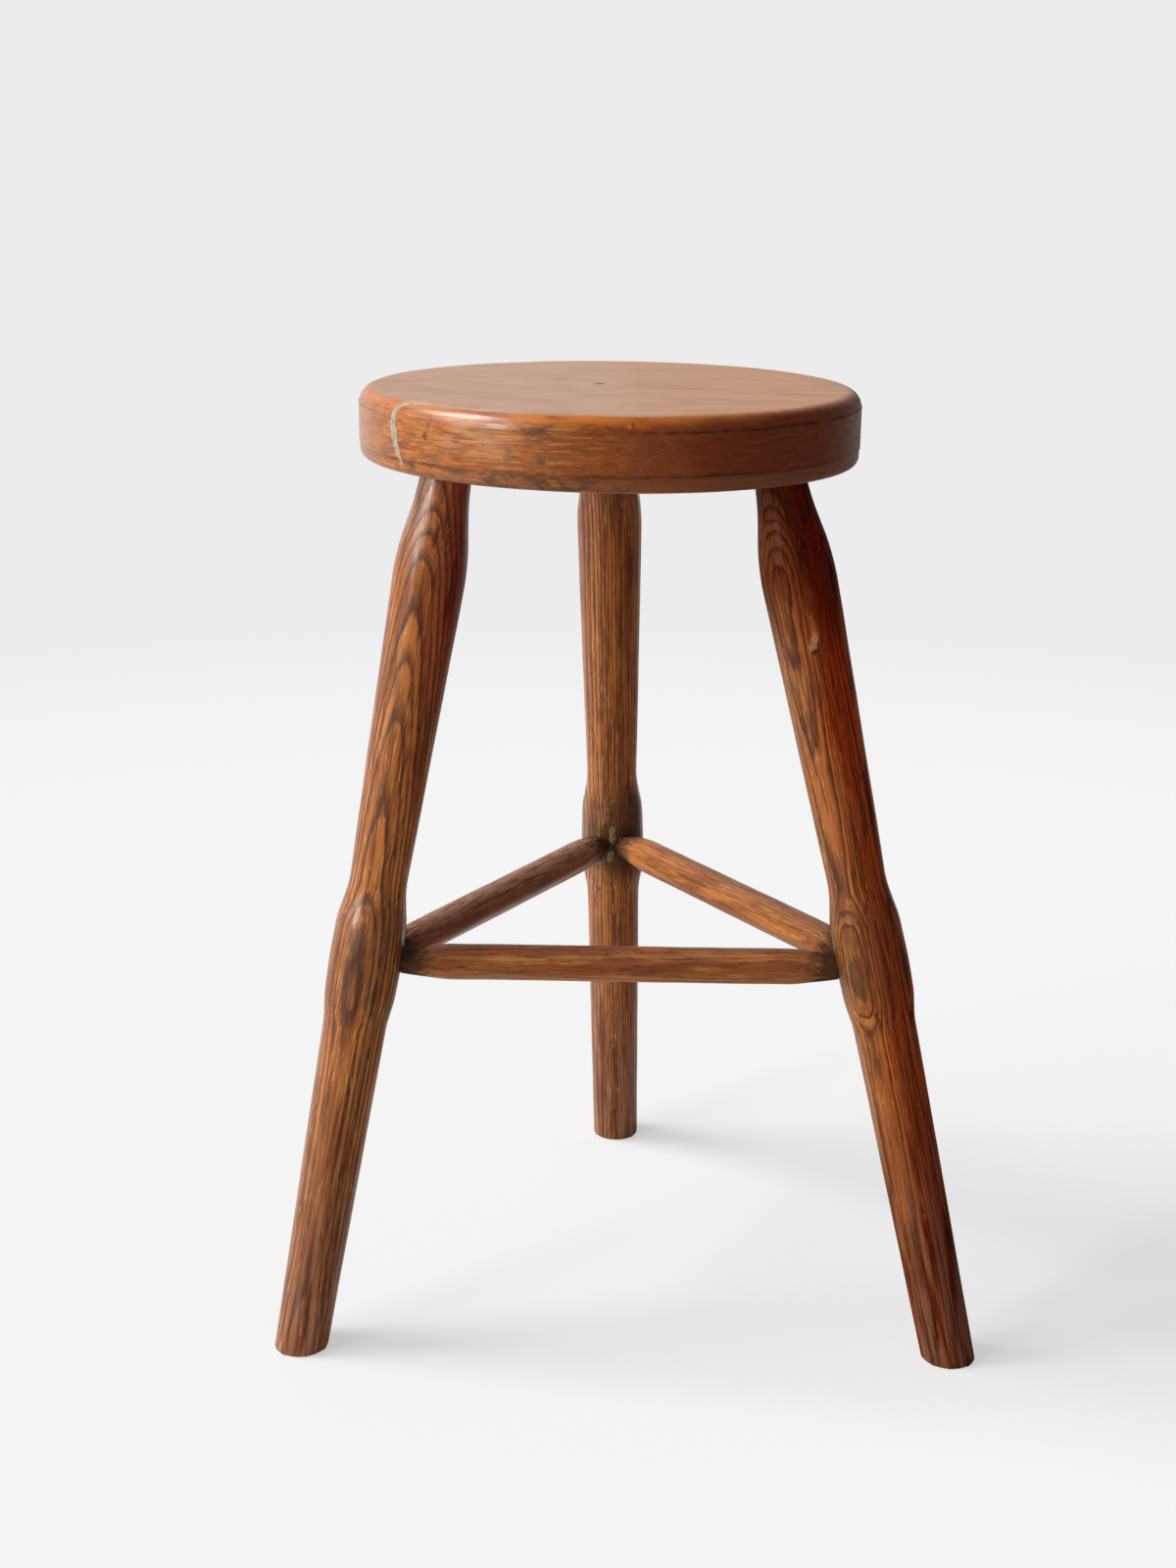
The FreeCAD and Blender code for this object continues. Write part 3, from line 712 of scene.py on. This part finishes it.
    # The varnish has stayed bright on the left side, and thick on the neck and on top of the bulb.
    thick_neck, thick_bulb = stand["thick"]
    neck = product(tree, fade(tree, drop, 75.0, 35.0), thick_neck)
    bulb_top = product(tree, fade(tree, drop, 262.0, 275.0), fade(tree, drop, 312.0, 292.0), thick_bulb)
    bright = product(tree, fade(tree, across, 2.0, -14.0), maths(tree, "SUBTRACT", 1.0, top_with_painted_light), 0.45)
    coat = maths(tree, "MAXIMUM", maths(tree, "MAXIMUM", neck, bulb_top), bright)
    gloss = add_scaled(tree, grain["Early Wood"], 0.2, 0.3)
    gloss = add_scaled(tree, top_with_painted_light, 0.3, gloss)
    rough = maths(tree, "SUBTRACT", grain["Fibre"], grain["Pores"])
    fill(tree, surface, {
        "Base Color": colour, "Roughness": gloss, "Coat Weight": coat, "Coat Roughness": 0.27,
        "Specular IOR Level": stand["shine"], "Normal": relief(tree, rough, 0.4, 0.3)})
    return material


def round_cutter(place, radius, start, end):
    """A drill's hole along a place's Z axis, from start to end, with no rings between."""
    corners = [(0, start, 0), (radius, start, 0), (radius, end, 0), (0, end, 0)]
    shape = turned(corners, bore_facets, math.inf)
    bmesh.ops.transform(shape, matrix=place, verts=shape.verts)
    return shape


def bore(piece, cutter_shape):
    """Cut a hole in a finished piece for good, with a shape that is then thrown away."""
    cutter = make_piece("cutter", cutter_shape, piece.data.materials[0])
    cut = piece.modifiers.new("bore", "BOOLEAN")
    cut.operation = "DIFFERENCE"
    cut.solver = "EXACT"
    cut.object = cutter
    solid = piece.data
    seen = bpy.context.evaluated_depsgraph_get()
    piece.data = bpy.data.meshes.new_from_object(piece.evaluated_get(seen))
    piece.data.set_sharp_from_angle(angle=sharp_angle)
    piece.modifiers.clear()
    bpy.data.objects.remove(cutter)
    bpy.data.meshes.remove(solid)


feet = {mount["name"]: Vector(mount["pos_m"]) for mount in frame["record"]["mounts"]}
leg_place, aim, legs = {}, {}, {}
for name, stand in leg_stands.items():
    socket_turn = math.radians(stand["socket_turn"])
    around = Vector((math.cos(socket_turn), math.sin(socket_turn), 0)) * socket_circle
    socket = Vector((seat_centre.x, seat_centre.y, seat_low.z)) + around
    down = (feet[name + "_foot"] - socket).normalized()
    face_turn = math.radians(stand["face_turn"])
    face = Vector((math.cos(face_turn), math.sin(face_turn), 0))
    face = (face - down * face.dot(down)).normalized()
    leg_place[name] = Matrix((face, down.cross(face), down)).transposed().to_4x4()
    leg_place[name].translation = socket
    for other, drop in stand["mortises"].items():
        spot = socket + down * (drop * MM)
        inward = Vector((seat_centre.x - spot.x, seat_centre.y - spot.y, 0)).normalized()
        aim[name, other] = spot + inward * mortise_inset

for name, stand in leg_stands.items():
    place = leg_place[name]
    mouths = []
    for other in stand["mortises"]:
        way = (aim[other, name] - aim[name, other]).normalized()
        mouths.append(place.inverted() @ (aim[name, other] + way * mouth_reach) / MM)
    shoulder_radius, waist_radius, ankle_radius = (radius * MM for radius in stand["radii"])
    leg_corners = [
        (0, -tenon_length, 0),
        (neck_radius, -tenon_length, 0),
        (neck_radius, neck_drop, shoulder_curve),
        (shoulder_radius, shoulder_drop, shoulder_curve),
        (waist_radius, waist_drop, bulb_curve),
        (bulb_top_radius, bulb_top_drop, bulb_curve),
        (crown_radius, crown_drop, crown_curve),
        (bulb_base_radius, bulb_base_drop, bulb_curve),
        (ankle_radius, ankle_drop, bulb_curve),
        (foot_radius, foot_drop, 0),
        (0, foot_drop, 0),
    ]
    shape = turned(leg_corners, leg_facets, leg_ring_gap)
    wear_in(shape, leg_wear, leg_wear_wave)
    bmesh.ops.transform(shape, matrix=place, verts=shape.verts)
    if name == "right":
        dent(shape, leg_chip, chip_reach, chip_depth)
    everything = list(shape.verts) + list(shape.edges) + list(shape.faces)
    bmesh.ops.bisect_plane(shape, geom=everything, plane_co=(0, 0, 0), plane_no=(0, 0, 1), clear_inner=True)
    sawn_edge = [edge for edge in shape.edges if edge.is_boundary]
    bmesh.ops.holes_fill(shape, edges=sawn_edge, sides=0)
    bmesh.ops.bevel(
        shape, geom=sawn_edge, offset=foot_round, offset_type="OFFSET", segments=foot_round_facets,
        profile=0.5, affect="EDGES", material=-1)
    bmesh.ops.recalc_face_normals(shape, faces=shape.faces)
    leg = make_piece(name + "_leg_turning", shape, make_leg_stain(name, stand, place, mouths))
    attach(leg, "root")
    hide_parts(name + "_leg")
    legs[name] = leg
    bore(seat, round_cutter(place, socket_radius, -socket_floor, below_seat))

# Stretchers
# Three round rods that tie the legs in a triangle at their bulbs. Each end is whittled down and cut to
# the round of the leg, and its tenon is glued into a mortise. Feet have rubbed off some of the stain, and
# the lower sides are lit gold as painted floor light.
stretcher_ends = {"front": ("left", "right"), "left": ("left", "back"), "right": ("right", "back")}
rail_end_cut = 3.2 * MM
rail_taper = 28.0 * MM
rail_taper_corner = 14.0 * MM
rail_taper_curve = 120.0 * MM
rail_tenon_radius = 6.2 * MM
scribe_reach = 14.0 * MM
scribe_gap = 0.15 * MM
mortise_radius = 6.3 * MM
mortise_floor = 12.2 * MM
tenon_stop = 12.6 * MM
rail_shoulder = 21.9 * MM
mortise_mouth = 40.0 * MM
rail_facets = 56
rail_ring_gap = 2.5 * MM
rail_wear = 0.35 * MM
rail_wear_wave = 22.0 * MM
whittled_faces = 7
# Each rod's radius, how its wood was sawn, as for the legs, how much of its stain is worn to gold in all,
# how much its lower side is lit gold as painted floor light, its dust, partly painted sheen, above and
# below, how shiny it is below, and the turn of its cuts.
stretcher_stock = {
    "front": {"radius": 11.4, "pith": 70.0, "lean": 0.02, "seed": 3000.0, "worn": 0.45, "painted_floor_light": 1.0,
              "pale_blotches": (0.3, 0.35), "shine": 0.0, "whittled_turn": 0.3},
    "left": {"radius": 11.5, "pith": 45.0, "lean": -0.03, "seed": 4000.0, "worn": 0.25, "painted_floor_light": 1.0,
             "pale_blotches": (1.0, 1.0), "shine": 0.8, "whittled_turn": 1.1},
    "right": {"radius": 11.8, "pith": 60.0, "lean": 0.025, "seed": 5000.0, "worn": 0.56, "painted_floor_light": 0.3,
              "pale_blotches": (0.35, 0.3), "shine": 0.0, "whittled_turn": 2.0},
}


def make_stretcher_stain(name, stock, place, length):
    material, tree, surface = new_material(name + "_stretcher_stain")
    wood = wood_place(tree, place)
    grain = put(tree, "Group", {
        "Wood Place": wood, "Pith Depth": stock["pith"], "Lean": stock["lean"], "Ring Width": 2.6,
        "Waver": 1.8, "Seed": stock["seed"],
    }, node_tree=grain_group).outputs
    gold = (0.55, 0.186, 0.042, 1)
    brown = (0.30, 0.082, 0.022, 1)
    deep_brown = (0.15, 0.045, 0.016, 1)
    early_dark = (0.10, 0.032, 0.014, 1)
    pore_dark = (0.070, 0.024, 0.012, 1)
    straw = (0.66, 0.32, 0.10, 1)
    greyish_tan = (0.37, 0.21, 0.14, 1)
    grime = (0.045, 0.021, 0.013, 1)
    shifted = vectors(tree, "ADD", wood, (0.0, 0.0, stock["seed"]))[0]
    dash = cloud(tree, shifted, (1.2, 1.2, 17.0), 2.0)
    patch = cloud(tree, shifted, (8.0, 8.0, 45.0), 3.0)
    crumbs = cloud(tree, shifted, (3.0, 3.0, 6.0), 3.0)
    worn = fade(tree, maths(tree, "ADD", patch, stock["worn"] - 0.5), 0.36, 0.58)
    upward = place.to_3x3().transposed() @ Vector((0, 0, 1))
    level = vectors(tree, "DOT_PRODUCT", wood, upward)["Value"]
    dust_and_sheen_above, dust_and_sheen_below = stock["pale_blotches"]
    pale_blots = product(tree, fade(tree, crumbs, 0.22, 0.54), fade(tree, dash, 0.66, 0.42))
    # The lower side is lit gold as painted floor light, and dust lies above and below, partly as painted sheen.
    colour = layer(
        tree, brown,
        (gold, worn),
        (gold, fade(tree, level, -1.0, -8.0), stock["painted_floor_light"]),
        (deep_brown, fade(tree, grain["Fibre"], 0.50, 0.30), 0.7),
        (early_dark, grain["Early Wood"], 0.42),
        (deep_brown, fade(tree, dash, 0.56, 0.68), fade(tree, level, -7.0, 0.0), 0.7),
        (pore_dark, grain["Pores"], 0.6),
        (straw, grain["Flecks"], worn, 0.8),
        (greyish_tan, pale_blots, fade(tree, level, 1.0, 9.0), dust_and_sheen_above),
        (greyish_tan, pale_blots, fade(tree, level, -1.0, -7.0), dust_and_sheen_below))

    # Grime lies where the rod meets the legs.
    far = put(tree, "SeparateXYZ", {0: wood}).outputs["Z"]
    from_end = maths(tree, "MINIMUM", far, maths(tree, "SUBTRACT", length / MM, far))
    ragged = add_scaled(tree, crumbs, 24.0, from_end)
    grimy = product(tree, fade(tree, ragged, 42.0, 26.0), 0.85)
    colour = tint(tree, colour, grime, grimy)
    gloss = add_scaled(tree, grain["Early Wood"], 0.15, 0.34)
    gloss = add_scaled(tree, grimy, 0.55, gloss)
    rough = maths(tree, "SUBTRACT", grain["Fibre"], grain["Pores"])
    fill(tree, surface, {
        "Base Color": colour, "Roughness": gloss, "Specular IOR Level": 0.16,
        "Normal": relief(tree, rough, 0.4, 0.3)})
    if stock["shine"]:
        coat = product(tree, fade(tree, level, 2.0, -4.0), stock["shine"])
        fill(tree, surface, {"Coat Weight": coat, "Coat Roughness": 0.25})
    return material


def whittle(shape, length, tenon_end, first_turn):
    """Flatten the tapers into knife cuts that die out along the rod; the tenons stay round."""
    slice_turn = math.tau / whittled_faces
    for vert in shape.verts:
        past_tenon = min(vert.co.z, length - vert.co.z) - tenon_end
        if -weld < past_tenon < rail_taper and vert.co.xy.length > rail_tenon_radius + weld:
            around = (math.atan2(vert.co.y, vert.co.x) + first_turn) % slice_turn - slice_turn / 2
            flat = math.cos(slice_turn / 2) / math.cos(around)
            share = 1 - past_tenon / rail_taper
            vert.co.xy *= 1 + (flat - 1) * share


def skin_of(piece):
    """The surface of a finished piece, to lay things on or fit them to."""
    mesh = piece.data
    spots = [vert.co for vert in mesh.vertices]
    return BVHTree.FromPolygons(spots, [face.vertices for face in mesh.polygons])


def scribe(shape, skin, place, tenon_end, far_end):
    """Cut the shoulder at one end of a rod to the round of its leg, easing off along the rod."""
    inward = -1 if far_end == 0 else 1
    way = (place.to_3x3() @ Vector((0, 0, inward))).normalized()
    for vert in shape.verts:
        past_tenon = abs(vert.co.z - far_end) - tenon_end
        if -weld < past_tenon < scribe_reach:
            start = Vector((vert.co.x, vert.co.y, far_end - inward * mortise_mouth))
            reach = skin.ray_cast(place @ start, way)[3]
            room = mortise_mouth - reach + scribe_gap - tenon_end
            vert.co.z -= inward * room * (1 - past_tenon / scribe_reach)


leg_skins = {name: skin_of(leg) for name, leg in legs.items()}
for name, (first, second) in stretcher_ends.items():
    stock = stretcher_stock[name]
    span = aim[second, first] - aim[first, second]
    way = span.normalized()
    length = span.length - 2 * tenon_stop
    tenon_end = rail_shoulder - tenon_stop
    rail_radius = stock["radius"] * MM
    rail_end_radius = rail_radius - rail_end_cut
    rail_corners = [
        (0, 0, 0),
        (rail_tenon_radius, 0, 0),
        (rail_tenon_radius, tenon_end, 0),
        (rail_end_radius, tenon_end, 0),
        (rail_radius, tenon_end + rail_taper_corner, rail_taper_curve),
        (rail_radius, length - tenon_end - rail_taper_corner, rail_taper_curve),
        (rail_end_radius, length - tenon_end, 0),
        (rail_tenon_radius, length - tenon_end, 0),
        (rail_tenon_radius, length, 0),
        (0, length, 0),
    ]
    side = way.cross(Vector((0, 0, 1))).normalized()
    place = Matrix((side, way.cross(side), way)).transposed().to_4x4()
    place.translation = aim[first, second] + way * tenon_stop
    shape = turned(rail_corners, rail_facets, rail_ring_gap)
    whittle(shape, length, tenon_end, stock["whittled_turn"])
    wear_in(shape, rail_wear, rail_wear_wave)
    scribe(shape, leg_skins[first], place, tenon_end, 0)
    scribe(shape, leg_skins[second], place, tenon_end, length)
    bmesh.ops.transform(shape, matrix=place, verts=shape.verts)
    rod = make_piece(name + "_stretcher_rod", shape, make_stretcher_stain(name, stock, place, length))
    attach(rod, "root")
    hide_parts(name + "_stretcher")
    start = mortise_floor - tenon_stop
    bore(legs[first], round_cutter(place, mortise_radius, start, mortise_mouth))
    bore(legs[second], round_cutter(place, mortise_radius, length - mortise_mouth, length - start))

# Glue
# Hard amber glue fills the room round every tenon; these films keep their CAD shapes. At the back leg
# old glue has been squeezed out between the two stretchers and has run down the bulb.
glue_proud = 0.35 * MM
glue_sunk = 0.25 * MM
glue_depth = 0.8 * MM
run_bluntness = 5
run_tip = 0.1
# Runs of glue on the back leg's bulb: the ends of each and its half width, in millimetres.
glue_runs = {
    "rear_glue_run": ((-11.0, 104.9, 278.0), (-11.2, 106.8, 262.8), 2.6),
    "rear_glue_drip": ((-11.6, 108.2, 257.5), (-13.4, 109.9, 247.0), 2.8),
    "rear_glue_streak": ((-17.8, 105.0, 283.0), (-17.7, 106.2, 276.6), 0.8),
    "rear_glue_crumb": ((-23.0, 109.0, 271.8), (-20.6, 108.3, 267.8), 0.8),
    "rear_glue_speck": ((-5.4, 106.3, 267.6), (-5.3, 106.8, 264.2), 0.5),
}


def make_glue():
    material, tree, surface = new_material("amber_glue")
    place = wood_place(tree, Matrix.Identity(4))
    amber = (0.30, 0.165, 0.065, 1)
    olive = (0.34, 0.245, 0.14, 1)
    crust = (0.45, 0.38, 0.28, 1)
    blackish_brown = (0.085, 0.038, 0.018, 1)
    blot = cloud(tree, place, (3.0, 3.0, 5.0), 3.0)
    specks = cloud(tree, place, (0.7, 0.7, 1.2), 2.0)
    soiled = cloud(tree, place, (1.1, 1.1, 7.0), 2.0)
    colour = layer(
        tree, amber,
        (olive, fade(tree, blot, 0.40, 0.62)),
        (crust, fade(tree, specks, 0.58, 0.7), 0.6),
        (blackish_brown, fade(tree, soiled, 0.48, 0.62), 0.75))
    gloss = add_scaled(tree, specks, 0.3, 0.25)
    fill(tree, surface, {
        "Base Color": colour, "Roughness": gloss, "Normal": relief(tree, blot, 0.5, 0.3)})
    return material


def make_run(start, end, half_width):
    """A run of glue between two points on the back leg, blunt at both ends."""
    def middle(share):
        point = start.lerp(end, share) * MM
        inside = leg_place["back"].inverted() @ point
        inside.z = 0
        outward = (leg_place["back"].to_3x3() @ inside).normalized()
        blunt = max(1 - abs(2 * share - 1) ** run_bluntness, run_tip)
        return point, outward, half_width * blunt * MM
    return bead(middle, leg_skins["back"], glue_proud, glue_sunk, glue_depth)


glue = make_glue()
for name, (start, end, half_width) in glue_runs.items():
    run = make_piece(name, make_run(Vector(start), Vector(end), half_width), glue)
    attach(run, "root")
for node, film in frame["nodes"].items():
    if node.endswith("_glue"):
        film.data.materials.clear()
        film.data.materials.append(glue)

# Floor, light and camera
# A plain pale floor and three soft lamps on the left. The surroundings and the floor's light are pale
# on the left and behind, and dim on the right and in front. The camera stands where the photo was taken.
floor_reach = 20.0
near_floor = 0.8
far_floor = 2.2
backdrop_white = 0.84
near_white = 0.94
surrounding_light = 0.28
dim_side = 0.05
bright_way = (-0.8, 0.6, 0.0)
left_bounce = (0.90, 0.90, 0.90, 1)
right_bounce = (0.42, 0.42, 0.42, 1)
left_mirrored = (0.85, 0.85, 0.85, 1)
right_mirrored = (0.08, 0.08, 0.08, 1)
floor_white = (0.97, 0.97, 0.97, 1)
shadow_lift = 0.50
# Each lamp: the way to it, its strength and its width.
lamps = {
    "high_window": ((-0.68, 0.04, 0.73), 1.85, math.radians(24)),
    "window": ((-0.82, -0.32, 0.47), 1.10, math.radians(40)),
    "low_window": ((-0.76, -0.60, 0.20), 0.65, math.radians(12)),
}

floor_shape = bmesh.new()
bmesh.ops.create_grid(floor_shape, x_segments=1, y_segments=1, size=floor_reach)
floor_material = bpy.data.materials.new("pale_floor")
floor_material.use_nodes = True
tree = floor_material.node_tree
tree.nodes.clear()
rays = put(tree, "LightPath").outputs
spot = put(tree, "TexCoord").outputs["Object"]
away = fade(tree, vectors(tree, "LENGTH", spot)["Value"], near_floor, far_floor)
paleness = add_scaled(tree, away, backdrop_white - near_white, near_white)
white = put(tree, "Emission", {"Color": (1, 1, 1, 1), "Strength": paleness}).outputs[0]
lit = put(tree, "BsdfDiffuse", {"Color": floor_white}).outputs[0]
lift = maths(tree, "MAXIMUM", away, shadow_lift)
shown = put(tree, "MixShader", {0: lift, 1: lit, 2: white}).outputs[0]
leftward = fade(tree, put(tree, "SeparateXYZ", {0: spot}).outputs["X"], 0.5, -0.7)
thrown = tint(tree, right_bounce, left_bounce, leftward)
facing = vectors(tree, "DOT_PRODUCT", vectors(tree, "NORMALIZE", spot)[0], bright_way)["Value"]
mirrored = tint(tree, right_mirrored, left_mirrored, fade(tree, facing, -0.35, 0.15))
thrown = tint(tree, thrown, mirrored, rays["Is Glossy Ray"])
bounce = put(tree, "BsdfDiffuse", {"Color": thrown}).outputs[0]
both = put(tree, "MixShader", {0: rays["Is Camera Ray"], 1: bounce, 2: shown}).outputs[0]
put(tree, "OutputMaterial", {"Surface": both})
floor = make_piece("floor", floor_shape, floor_material)

world = bpy.data.worlds.new("studio")
bpy.context.scene.world = world
world.use_nodes = True
tree = world.node_tree
tree.nodes.clear()
rays = put(tree, "LightPath").outputs
facing = vectors(tree, "DOT_PRODUCT", put(tree, "TexCoord").outputs["Generated"], bright_way)["Value"]
mirrored = add_scaled(tree, fade(tree, facing, -0.3, 0.6), backdrop_white - dim_side, dim_side)
extra = maths(tree, "SUBTRACT", mirrored, surrounding_light)
level = add_scaled(tree, rays["Is Glossy Ray"], extra, surrounding_light)
level = add_scaled(tree, rays["Is Camera Ray"], backdrop_white - surrounding_light, level)
air = put(tree, "Background", {"Color": (1, 1, 1, 1), "Strength": level}).outputs[0]
put(tree, "OutputWorld", {"Surface": air})

for name, (way, strength, width) in lamps.items():
    lamp = bpy.data.objects.new(name, bpy.data.lights.new(name, "SUN"))
    lamp.data.energy = strength
    lamp.data.angle = width
    lamp.rotation_euler = Vector(way).to_track_quat("Z", "Y").to_euler()
    bpy.context.scene.collection.objects.link(lamp)

photo_height = 1600
lens_in_pixels = 2231.43
sensor = 36.0
camera_back = 1.3644
camera_height = 0.7634
camera_pitch = math.radians(16.759)
camera_pan = math.radians(-0.467)
camera_roll = math.radians(0.62)
camera_place = Vector((seat_centre.x, seat_centre.y - camera_back, camera_height))
camera = bpy.data.objects.new("camera", bpy.data.cameras.new("camera"))
camera.data.sensor_width = sensor
camera.data.lens = sensor * lens_in_pixels / photo_height
turn = Matrix.Rotation(-camera_pan, 4, "Z") @ Matrix.Rotation(math.pi / 2 - camera_pitch, 4, "X")
camera.matrix_world = Matrix.Translation(camera_place) @ turn @ Matrix.Rotation(camera_roll, 4, "Z")
bpy.context.scene.collection.objects.link(camera)
bpy.context.scene.camera = camera
bpy.context.scene.view_settings.view_transform = "Standard"
